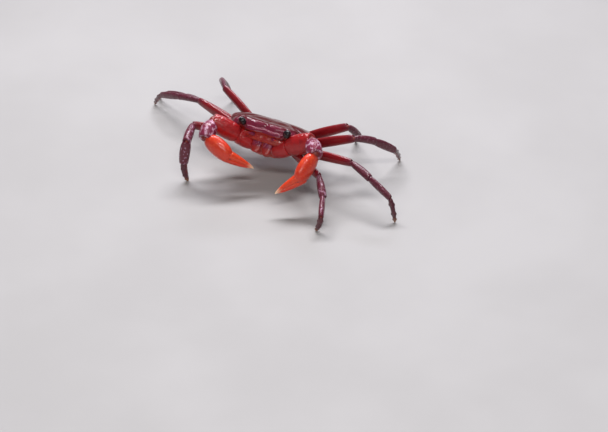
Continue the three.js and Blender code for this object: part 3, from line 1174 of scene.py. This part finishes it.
@dataclass(frozen=True)
class Underbody(Assembly):
    """The breast plates below the shell and the tail folded flat against them."""

    levels: tuple[Level, ...] = (
        Level(-1.8, 6.8, -7.8, 6.6),
        Level(-3.4, 7.4, -7.5, 6.9),
        Level(-4.8, 7.3, -7.1, 6.2),
        Level(-6.1, 6.3, -6.4, 5.0),
        Level(-7.0, 4.3, -5.2, 3.4),
        Level(-7.2, 0.6, -0.8, 0.2),
    )
    seams: tuple[float, ...] = (-4.9, -2.6, -0.2, 2.2, 4.4)
    tail_root: Point = (0, 7.4, -3.4)
    tail: LimbShape = LimbShape(11.2, (0.9, 0.75, 0.45), (3.1, 2.6, 0.9), arch=-1.1)
    tail_segments: int = 6

    def place(self, spot: Vector) -> Vector:
        """Where a point of the unit ball lies on the breast.

        Args:
            spot: the ball's point.

        Returns:
            The breast's point.
        """
        depth = (1 - spot.z) / 2 * (len(self.levels) - 1)
        low = min(int(depth), len(self.levels) - 2)
        level = self.levels[low].towards(self.levels[low + 1], depth - low)
        angle = math.atan2(spot.y, spot.x)
        flat = min(math.hypot(spot.x, spot.y) * 2.4, 1.0)

        def squared(value: float) -> float:
            """Pushes a sine or cosine outwards, for fuller corners."""
            return math.copysign(abs(value) ** 0.7, value)

        x = squared(math.cos(angle)) * level.half * flat
        middle, half = (level.front + level.back) / 2, (level.back - level.front) / 2
        y = middle + squared(math.sin(angle)) * half * flat
        height = level.height
        groove = sum(math.exp(-(((y - seam) / 0.22) ** 2)) for seam in self.seams)
        if height < -4.0:
            height += 0.3 * groove * min(abs(x) / 3.0, 1.0)
            height += 0.35 * math.exp(-((x / 0.4) ** 2))
        return Vector((x, y, height))

    def tail_rings(self) -> list[Ring]:
        """The tail's cross-sections, drawn in a little at each seam.

        Returns:
            The rings, from its root forward under the breast.
        """
        run = 0.93 / self.tail_segments
        profile = [(0.0, 0.5), (0.03, 0.85)]
        for segment in range(self.tail_segments):
            start = 0.05 + 0.93 * segment / self.tail_segments
            for share, fullness in ((0.08, 0.88), (0.2, 1.0), (0.75, 1.03), (0.92, 0.99)):
                profile.append((start + run * share, fullness))
        return self.tail.rings((*profile, (0.995, 0.6)))

    def build(self) -> None:
        """Models the breast and the tail and dresses them."""

        breast = shaped_ball("breast_plates", 96, 64, self.place)
        complete(breast, STANCE.body(), self.finishes.underside, "underside", "thorax", levels=0,
                 run=14.0, axis=1, start=-7.0)
        tail = loft("folded_tail", self.tail_rings(), sides=16)
        place = STANCE.fitting(self.tail_root, ("Z", -90), ("Y", 22))
        complete(tail, place, self.finishes.underside, "underside", "abdomen", run=self.tail.length)


# ---- face


@dataclass(frozen=True)
class Face(Assembly):
    """The eyes and stalks, feelers, mouth plates and the bar above the mouth."""

    eye_centre: Point = (6.9, -9.2, 2.35)
    eye_radius: float = 1.12
    stalk_root: Point = (5.2, -8.3, 0.4)
    stalk_profile: Line = (
        (-0.1, 0.7), (0.0, 1.0), (0.15, 1.05), (0.35, 0.95), (0.55, 0.95), (0.75, 1.0), (0.9, 1.04),
        (0.985, 1.0), (0.99, 0.84), (0.9, 0.7),
    )
    feeler_root: Point = (3.2, -9.2, -0.4)
    feeler_joints: int = 9
    plate_root: Point = (1.62, -7.6, -2.1)
    plate_shape: LimbShape = LimbShape(3.9, (1.2, 1.45, 0.95), (0.36, 0.42, 0.34), base=-0.1)
    plate_profile: Line = (
        (0.0, 0.6), (0.03, 0.9), (0.12, 1.0), (0.3, 1.02), (0.38, 0.98), (0.405, 0.82), (0.43, 0.98),
        (0.55, 1.02), (0.75, 1.0), (0.92, 0.94), (0.98, 0.7),
    )
    palp_shape: LimbShape = LimbShape(2.4, (0.34, 0.4, 0.22), (0.34, 0.36, 0.2), arch=0.3)
    bar_root: Point = (0, -7.85, -1.1)
    bar_shape: LimbShape = LimbShape(14.0, (0.9, 1.35, 0.9), (0.8, 1.1, 0.8), base=-7.0)
    bar_profile: Line = (
        (0.0, 0.4), (0.03, 0.7), (0.1, 0.9), (0.2, 1.0), (0.3, 1.0), (0.4, 1.04), (0.46, 0.98),
        (0.5, 0.9), (0.54, 0.98), (0.6, 1.04), (0.7, 1.0), (0.8, 1.0), (0.9, 0.9), (0.97, 0.7),
        (1.0, 0.4),
    )

    def eye(self, side: Side) -> None:
        """Models one eye and its stalk.

        Args:
            side: the side of the crab.
        """
        centre, root = side.point(self.eye_centre), side.point(self.stalk_root)
        run = (centre - root).length
        turn = Vector((1, 0, 0)).rotation_difference((centre - root).normalized())
        place = STANCE.fitting(root) @ Quaternion(turn).to_matrix().to_4x4()
        radius = self.eye_radius
        half = (1.22 * radius, 1.08 * radius, 0.9 * radius)
        ball = loft(f"eye_ball_{side.word}", bead(run, half, range(-75, 76, 15)), sides=16)
        complete(ball, place, self.finishes.eye, "eye", f"eye_{side.word}", run=run + radius)
        shape = LimbShape(run + 0.35, (0.8, 0.62, 1.1), (0.8, 0.62, 1.1))
        stalk = loft(f"eye_stalk_{side.word}", shape.rings(self.stalk_profile))
        complete(stalk, place, self.finishes.stalk, "shell", f"eyestalk_{side.word}", run=run * 1.4)

    def feeler(self, side: Side) -> None:
        """Models one short ringed feeler on its base.

        Args:
            side: the side of the crab.
        """
        sizes = [(-0.8, 0.5), (-0.4, 0.62), (0.2, 0.6), (0.6, 0.42)]
        for joint in range(self.feeler_joints):
            start = 0.75 + 2.6 * joint / self.feeler_joints
            size = 0.34 - 0.02 * joint
            sizes += [(start, size * 0.8), (start + 0.16, size)]
        sizes.append((3.45, 0.08))
        piece = loft(f"feeler_{side.word}", [Ring(at, size, size) for at, size in sizes], sides=8)
        place = STANCE.fitting(side.point(self.feeler_root), ("Z", -90 + side.value * 35), ("Y", -12))
        complete(piece, place, self.finishes.mouth, "shell", f"antenna_{side.word}", levels=1, run=3.4)

    def mouth_plate(self, side: Side) -> None:
        """Models one outer mouth plate: a long lower half, a short upper one and a small palp.

        Args:
            side: the side of the crab.
        """
        plate = loft(f"mouth_plate_{side.word}", self.plate_shape.rings(self.plate_profile))
        palp = loft(f"palp_{side.word}", self.palp_shape.rings(ROUNDED), sides=8)
        palp.location = (-0.5, -0.55, -side.value * 0.5)
        palp.rotation_euler = (0, math.radians(12), 0)
        whole = join([plate, palp])
        place = STANCE.fitting(side.point(self.plate_root), ("X", -20), ("Y", 90))
        complete(whole, place, self.finishes.mouth, "mouth", f"maxilliped_{side.word}",
                 run=self.plate_shape.length)

    def mouth_bar(self) -> None:
        """Models the bar between the brow and the mouth."""

        shape = self.bar_shape
        piece = loft("mouth_bar", shape.rings(self.bar_profile), sides=16)
        place = STANCE.fitting(self.bar_root)
        complete(piece, place, self.finishes.underside, "underside", run=shape.length, start=shape.base)

    def build(self) -> None:
        """Models the whole face."""

        for side in Side:
            self.eye(side)
            self.feeler(side)
            self.mouth_plate(side)
        self.mouth_bar()


# ---- walking legs


@dataclass(frozen=True)
class Segment:
    """One kind of leg segment, in millimetres.

    It has its own name and its node's, its half sizes and arch, how far it runs into the next
    socket, and how sharp its keels are.
    """

    word: str
    node: str
    depth: Sizes
    thick: Sizes
    arch: float
    overlap: float
    keel: float

    def shape(self, length: float) -> LimbShape:
        """The segment's shape for a joint-to-joint length."""
        return LimbShape(length + self.overlap, self.depth, self.thick, self.arch)

    def model(self, tag: str, shape: LimbShape) -> Piece:
        """Lofts the segment, with a keel along its upper and lower edges.

        Args:
            tag: the leg's name.
            shape: the segment's shape.

        Returns:
            The cage, in the segment's frame.
        """
        piece = loft(f"{tag}_{self.word}", shape.rings(SOCKETED))
        crease_keel(piece, Keel.UPPER, self.keel)
        crease_keel(piece, Keel.LOWER, self.keel * 0.6)
        return piece


@dataclass(frozen=True)
class WalkingLegs(Assembly):
    """The eight walking legs: hips, lengths, girths and poses, numbered from the front."""

    thigh: Segment = Segment("thigh", "merus", (1.1, 1.7, 1.2), (0.85, 1.0, 0.85), 0.25, 0.45, 0.3)
    knee: Segment = Segment("knee", "carpus", (0.95, 1.2, 1.15), (0.7, 1.1, 1.0), 0.3, 0.35, 0.3)
    shin: Segment = Segment("shin", "propodus", (1.1, 1.32, 1.0), (0.68, 0.85, 0.68), 0.1, 0.25, 0.35)
    toe_depth: Sizes = (0.85, 0.76, 0.4)
    toe_thick: Sizes = (0.62, 0.6, 0.36)
    root: LimbShape = LimbShape(3.6, (1.1, 1.3, 1.0), (0.9, 1.05, 0.85), base=-2.7)
    cuff_sizes: tuple[float, ...] = (0.72, 0.62, 0.6, 0.46)
    hips: tuple[Point, ...] = ((6.75, -2.5, -4.0), (7.3, 0.0, -4.2), (6.9, 2.5, -4.1), (5.25, 5.75, -3.2))
    lengths: tuple[Sizes, ...] = ((16.2, 7.0, 7.4), (20.1, 7.5, 8.6), (19.7, 7.1, 8.4), (17.7, 6.5, 7.5))
    girths: dict[Side, tuple[float, ...]] = field(default_factory=lambda: {
        Side.RIGHT: (1.25, 0.9, 0.85, 0.85),
        Side.LEFT: (1.12, 1.05, 1.0, 0.95),
    })
    poses: dict[Side, tuple[Pose, ...]] = field(default_factory=lambda: {
        Side.RIGHT: (
            Pose((-26, -97, -32, -15), (19, -9, -83, -100)),
            Pose((24, 14, 25, 34), (6, -11, -24, -55)),
            Pose((23, 23, 23, 33), (3, -9, -19, -42)),
            Pose((28, 60, 95, 100), (20, -15, -55, -68)),
        ),
        Side.LEFT: (
            Pose((-38, -59, -73, -15), (4, -20, -14, -108)),
            Pose((-14, -25, -24, -31), (11, -11, -18, -71)),
            Pose((-2, 45, 49, 90), (25, -24, -39, -55)),
            Pose((4, 60, 112, 118), (28, -52, -38, -48)),
        ),
    })

    def toe_cage(self, name: str, shape: LimbShape) -> Piece:
        """Lofts the pointed last segment, set with rows of small spines.

        Args:
            name: the new object's name.
            shape: its shape.

        Returns:
            The cage, in the toe's frame.
        """
        piece = loft(name, shape.rings(POINTED))

        def spiny(face: bmesh.types.BMFace) -> bool:
            """Whether a face takes a spine.

            Args:
                face: a face of the cage.

            Returns:
                True for every second face of the four slanting rows.
            """
            share = face.calc_center_median().x / shape.length
            slanting = abs(face.normal.y) > 0.45 and abs(face.normal.z) > 0.45
            return slanting and int(share * 10) % 2 == 0 and 0.12 < share < 0.88

        raise_bumps(piece, 0.07, 0.22, spiny)
        return piece

    def leg(self, side: Side, number: int) -> Cuffs:
        """Models one leg and its base.

        Args:
            side: the side of the crab.
            number: 1 at the front to 4 at the back.

        Returns:
            The frame and size of the skin in each of its joints.
        """
        tag = f"leg_{side.word}_{number}"
        row = number - 1
        lengths, girth, pose = self.lengths[row], self.girths[side][row], self.poses[side][row]
        frames = pose.frames(self.hips[row], side, lengths)
        # The front legs' lower segments take the finish with stronger painted glints.
        below = self.finishes.leg_painted_glints if number == 1 else self.finishes.leg_dark
        dressing = (
            (self.thigh, 1.0, self.finishes.leg_red, "leg_red"),
            (self.knee, girth, below, "leg_dark"),
            (self.shin, girth, below, "leg_dark"),
        )
        for (segment, stout, finish, slot), length, place in zip(dressing, lengths, frames):
            shape = segment.shape(length).scaled(stout)
            cage = segment.model(tag, shape)
            complete(cage, place, finish, slot, f"{tag}_{segment.node}", run=shape.length)
        reach = frames[3].translation.z / -math.sin(math.radians(pose.lift[3]))
        toe_shape = LimbShape(reach, self.toe_depth, self.toe_thick, 0.35).scaled(girth)
        toe = self.toe_cage(f"{tag}_toe", toe_shape)
        complete(toe, frames[3], self.finishes.toe, "leg_dark", f"{tag}_dactylus", run=reach)
        self.stand(toe)
        base = loft(f"{tag}_base", self.root.rings(SOCKETED))
        crease_keel(base, Keel.UPPER, 0.4)
        run, start = self.root.length, self.root.base
        complete(base, frames[0], self.finishes.underside, "underside", run=run, start=start)
        return list(zip(frames, self.cuff_sizes))

    def stand(self, toe: Piece) -> None:
        """Levels the points of a toe that would go below the floor."""
        for vertex in toe.data.vertices:
            vertex.co.z = max(vertex.co.z, 0.0)

    def build(self) -> Cuffs:
        """Models every leg.

        Returns:
            The frame and size of each joint's skin.
        """
        cuffs: Cuffs = []
        for side in (Side.RIGHT, Side.LEFT):
            for number in range(1, len(self.hips) + 1):
                cuffs += self.leg(side, number)
        return cuffs


# ---- claws


@dataclass(frozen=True)
class Claws(Assembly):
    """The two claws: hip, joint-to-joint lengths, shapes and poses, from the ischium on."""

    hip: Point = (5.0, -6.6, -3.6)
    ischium: float = 2.9
    merus: float = 8.5
    carpus: float = 5.4
    palm: float = 8.4
    finger: float = 8.0
    root_shape: LimbShape = LimbShape(5.5, (2.0, 2.65, 2.45), (1.7, 2.1, 1.95), base=-2.2)
    arm_shape: LimbShape = LimbShape(9.2, (2.6, 3.15, 2.45), (1.9, 2.4, 2.05))
    wrist_shape: LimbShape = LimbShape(6.1, (1.5, 2.65, 2.3), (1.5, 2.4, 2.05), arch=0.5)
    palm_shape: LimbShape = LimbShape(9.3, (2.1, 3.2, 2.15), (1.5, 2.2, 1.5), arch=0.2)
    lower_finger: LimbShape = LimbShape(
        9.7, (1.3, 0.95, 0.28), (1.3, 0.88, 0.28), hook=-0.9, base=-1.7, lift=-0.8
    )
    upper_finger: LimbShape = LimbShape(
        8.6, (1.32, 0.88, 0.26), (1.2, 0.84, 0.26), arch=-0.1, hook=0.8, base=-0.4, lift=0.85
    )
    finger_profile: Line = (
        (0.0, 0.6), (0.03, 0.86), *((0.08 + 0.055 * step, 1.0) for step in range(15)),
        (0.91, 0.96), (0.955, 0.82), (0.985, 0.58), (1.0, 0.34),
    )
    voxel: float = 0.11
    cuff_sizes: tuple[float, ...] = (1.35, 1.5, 1.4, 1.2)
    poses: dict[Side, Pose] = field(default_factory=lambda: {
        Side.RIGHT: Pose((-14, -14, -87, -169, -199), (30.5, 30.5, -27, -27, -29)),
        Side.LEFT: Pose((-1.5, -1.5, -57, -113, -148), (31.5, 31.5, -7, -41, -31)),
    })

    def arm(self, name: str) -> Piece:
        """Lofts the merus, with a creased upper edge set with knobs.

        Args:
            name: the new object's name.

        Returns:
            The cage, in the merus's frame.
        """
        piece = loft(name, self.arm_shape.rings(SOCKETED), sides=16)
        crease_keel(piece, Keel.UPPER, 0.2)

        def on_edge(face: bmesh.types.BMFace) -> bool:
            """Whether a face lies along the upper edge."""
            return face.normal.z > 0.9 and 1.0 < face.calc_center_median().x < self.arm_shape.length * 0.86

        raise_bumps(piece, 0.2, 0.12, on_edge)
        return piece

    def toothed(self, name: str, shape: LimbShape, inward: Keel) -> Piece:
        """Lofts a finger with a row of blunt teeth on its biting edge.

        Args:
            name: the new object's name.
            shape: the finger's shape.
            inward: the side that faces the other finger.

        Returns:
            The cage, in the fingers' frame.
        """
        piece = loft(name, shape.rings(self.finger_profile), sides=16)

        def biting(face: bmesh.types.BMFace) -> bool:
            """Whether a face takes a tooth.

            Args:
                face: a face of the cage.

            Returns:
                True for every second face of the biting edge.
            """
            share = (face.calc_center_median().x - shape.base) / shape.length
            row = int((share - 0.08) / 0.055)
            return face.normal.z * inward.value > 0.85 and 0.3 < share < 0.88 and row % 2 == 0

        raise_bumps(piece, 0.12, 0.16, biting)
        return piece

    def hand(self, tag: str, palm_to_fingers: Matrix) -> Piece:
        """Makes the palm and its fixed finger into one smooth shell.

        Args:
            tag: the claw's name.
            palm_to_fingers: the fingers' frame as seen from the palm's.

        Returns:
            The hand, in the palm's frame.
        """
        palm = loft(f"{tag}_hand", self.palm_shape.rings(ROUNDED), sides=16)
        subdivide(palm, 1)
        finger = self.toothed(f"{tag}_fixed_finger", self.lower_finger, Keel.UPPER)
        subdivide(finger, 1)
        finger.matrix_world = palm_to_fingers
        whole = join([palm, finger])
        bpy.ops.object.transform_apply(location=True, rotation=True, scale=True)
        apply_modifier(whole, "REMESH", mode="VOXEL", voxel_size=self.voxel)
        apply_modifier(whole, "SMOOTH", factor=0.5, iterations=10)
        return whole

    def claw(self, side: Side) -> Cuffs:
        """Models one claw.

        Args:
            side: the side of the crab.

        Returns:
            The frame and size of the skin in each of its joints.
        """
        tag = f"claw_{side.word}"
        lengths = (self.ischium, self.merus, self.carpus, self.palm)
        places = self.poses[side].frames(self.hip, side, lengths)
        root = loft(f"{tag}_root", self.root_shape.rings(SOCKETED))
        arm = self.arm(f"{tag}_arm")
        wrist = loft(f"{tag}_wrist", self.wrist_shape.rings(SOCKETED), sides=16)
        hand = self.hand(tag, places[3].inverted() @ places[4])
        finger = self.toothed(f"{tag}_finger", self.upper_finger, Keel.LOWER)
        red, orange = "claw_arm", "claw_hand"
        for piece, place, finish, slot, node, run, levels in (
            (root, places[0], self.finishes.claw_arm, red, "ischium", self.ischium, 2),
            (arm, places[1], self.finishes.claw_arm, red, "merus", self.arm_shape.length, 2),
            (wrist, places[2], self.finishes.claw_wrist, red, "carpus", self.wrist_shape.length, 3),
            (hand, places[3], self.finishes.claw_hand, orange, "palm", self.palm + self.finger, 0),
            (finger, places[4], self.finishes.finger, orange, "dactylus", self.finger, 2),
        ):
            complete(piece, place, finish, slot, f"{tag}_{node}", run=run, levels=levels)
        return list(zip(places[1:], self.cuff_sizes))

    def build(self) -> Cuffs:
        """Models both claws.

        Returns:
            The frame and size of each joint's skin.
        """
        return [cuff for side in Side for cuff in self.claw(side)]


# ---- joint skins


@dataclass(frozen=True)
class JointSkins(Assembly):
    """The soft skin inside each joint, shown in the gap between two shell pieces."""

    stretch: float = 1.25

    def build(self, cuffs: Cuffs) -> None:
        """Makes a small cuff at each joint and joins them into one piece.

        Args:
            cuffs: each joint's frame and the radius of its cuff, in millimetres.
        """
        pieces = []
        for number, (place, radius) in enumerate(cuffs):
            rings = bead(0.0, (radius * self.stretch, radius, radius), range(-72, 73, 24))
            piece = loft(f"cuff_{number}", rings, sides=8)
            piece.matrix_world = place
            take(piece)
            bpy.ops.object.transform_apply(location=True, rotation=True, scale=True)
            pieces.append(piece)
        whole = join(pieces)
        whole.name = "joint_skins"
        complete(whole, Matrix.Identity(4), self.finishes.skin, "underside", run=1.0, levels=1)


# ---- studio


@dataclass(frozen=True)
class Lamp:
    """A soft rectangular lamp, in metres and watts, that faces the crab."""

    name: str
    spot: Point
    size: tuple[float, float]
    power: float
    tint: Colour
    aim: Point = (0, 0, 0.01)

    def build(self) -> None:
        """Hangs the lamp in its place and turns it to the crab."""
        light = bpy.data.lights.new(self.name, "AREA")
        light.shape = "RECTANGLE"
        light.size, light.size_y = self.size
        light.energy = self.power
        light.color = self.tint
        holder = bpy.data.objects.new(self.name, light)
        holder.location = self.spot
        holder.rotation_euler = (Vector(self.spot) - Vector(self.aim)).to_track_quat("Z", "Y").to_euler()
        bpy.context.scene.collection.objects.link(holder)


@dataclass(frozen=True)
class Studio:
    """The camera, floor and lights."""

    azimuth: float = 21.4
    elevation: float = 37.0
    pixels_per_mm: float = 3.492
    body_pixel: tuple[float, float] = (274.1, 129.1)
    distance: float = 1.2
    sensor: float = 0.036
    floor_size: float = 6.0
    room_tint: Colour = (0.86, 0.88, 1.0)
    room_light: float = 0.16
    lamps: tuple[Lamp, ...] = (
        Lamp("sky_box", (-0.12, 0.26, 0.52), (0.6, 0.08), 5.6, (0.95, 0.94, 1.0)),
        Lamp("key_strip", (0.14, -0.26, 0.5), (0.24, 0.03), 1.0, (1.0, 0.97, 0.98)),
        Lamp("front_fill", (0.12, -0.72, 0.42), (0.5, 0.3), 1.9, (1.0, 0.97, 0.93)),
        Lamp("back_strip", (-0.15, 0.62, 0.42), (0.6, 0.07), 1.2, (0.84, 0.84, 1.0)),
    )

    def aim(self) -> tuple[Vector, Vector]:
        """Finds where the camera looks, so that the body lies at its place in the frame.

        Returns:
            The point it looks at, and the direction from there to the camera.
        """
        turn, rise = math.radians(self.azimuth), math.radians(self.elevation)
        right = Vector((math.cos(turn), math.sin(turn), 0))
        towards = Vector((math.sin(turn) * math.cos(rise), -math.cos(turn) * math.cos(rise), math.sin(rise)))
        up = towards.cross(right)
        across = (FRAME_WIDTH_PX / 2 - self.body_pixel[0]) / self.pixels_per_mm
        above = (self.body_pixel[1] - FRAME_HEIGHT_PX / 2) / self.pixels_per_mm
        target = Vector(STANCE.centre) + right * across + up * above
        return target * MM, towards

    def camera(self) -> None:
        """Sets the camera where the crab fills its part of the frame."""
        target, towards = self.aim()
        lens = bpy.data.cameras.new("view")
        width = FRAME_WIDTH_PX / self.pixels_per_mm * MM
        lens.lens = self.sensor * 1000 * self.distance / width
        lens.clip_start = 0.01
        lens.clip_end = 10.0
        holder = bpy.data.objects.new("view", lens)
        holder.location = target + towards * self.distance
        holder.rotation_euler = (math.radians(90 - self.elevation), 0, math.radians(self.azimuth))
        bpy.context.scene.collection.objects.link(holder)
        bpy.context.scene.camera = holder

    def surroundings(self) -> None:
        """A dim, slightly cool room."""
        world = bpy.data.worlds.new("room")
        world.use_nodes = True
        background = world.node_tree.nodes["Background"]
        background.inputs["Color"].default_value = (*self.room_tint, 1.0)
        background.inputs["Strength"].default_value = self.room_light
        bpy.context.scene.world = world
        bpy.context.scene.view_settings.view_transform = "Standard"

    def floor(self) -> None:
        """Lays the floor."""
        bpy.ops.mesh.primitive_plane_add(size=self.floor_size, location=(0, 0, 0))
        sheet = bpy.context.object
        sheet.name = "studio_floor"
        sheet.data.materials.append(FloorFinish().build())

    def build(self) -> None:
        """Sets up the whole studio."""
        self.camera()
        self.floor()
        self.surroundings()
        for lamp in self.lamps:
            lamp.build()


# ---- assembly


def main() -> None:
    """Builds the crab, piece by piece, and the studio round it."""
    logging.basicConfig(level=logging.INFO, format="%(name)s %(message)s")
    Studio().build()
    finishes = Finishes()
    Carapace(finishes).build()
    Underbody(finishes).build()
    Face(finishes).build()
    cuffs = WalkingLegs(finishes).build()
    cuffs += Claws(finishes).build()
    JointSkins(finishes).build(cuffs)


if __name__ == "__main__":
    main()
